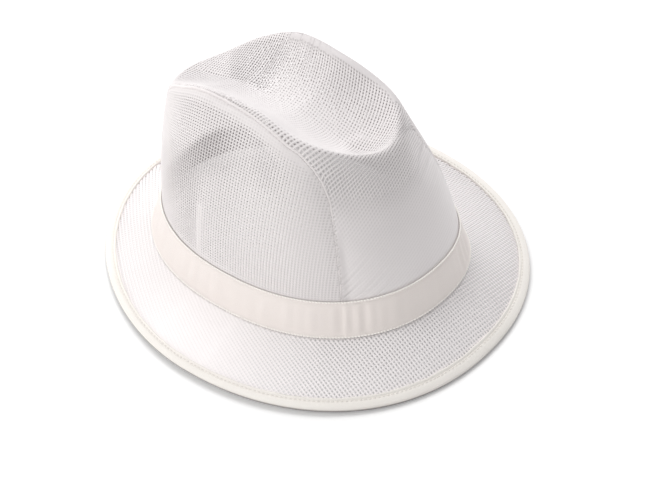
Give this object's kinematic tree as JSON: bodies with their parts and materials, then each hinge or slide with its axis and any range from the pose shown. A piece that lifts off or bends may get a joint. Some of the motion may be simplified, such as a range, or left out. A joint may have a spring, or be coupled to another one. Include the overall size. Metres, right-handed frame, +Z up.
{
  "type": "trilby",
  "caption": "Trilby of stiff white net with a dished, pinched crown, a plain cloth band and a sloping brim bound with tape, open underneath for the head.",
  "frame": {"origin": "middle of the bounding box, on the surface that the brim's edge rests on", "axes": "+Z up through the crown, -Y towards the front of the hat, +X towards the wearer's left"},
  "size_m": [0.2438, 0.2686, 0.1408],
  "materials": {
    "net_white": "open-weave stiffened white net",
    "band_cloth": "plain woven off-white cotton",
    "binding_tape": "stitched off-white woven tape"
  },
  "bodies": {
    "root": {"crown_centre_panel": "net_white", "side_panel_left": "net_white", "side_panel_right": "net_white", "brim": "net_white", "hat_band": "band_cloth", "brim_binding": "binding_tape"}
  },
  "joints": []
}
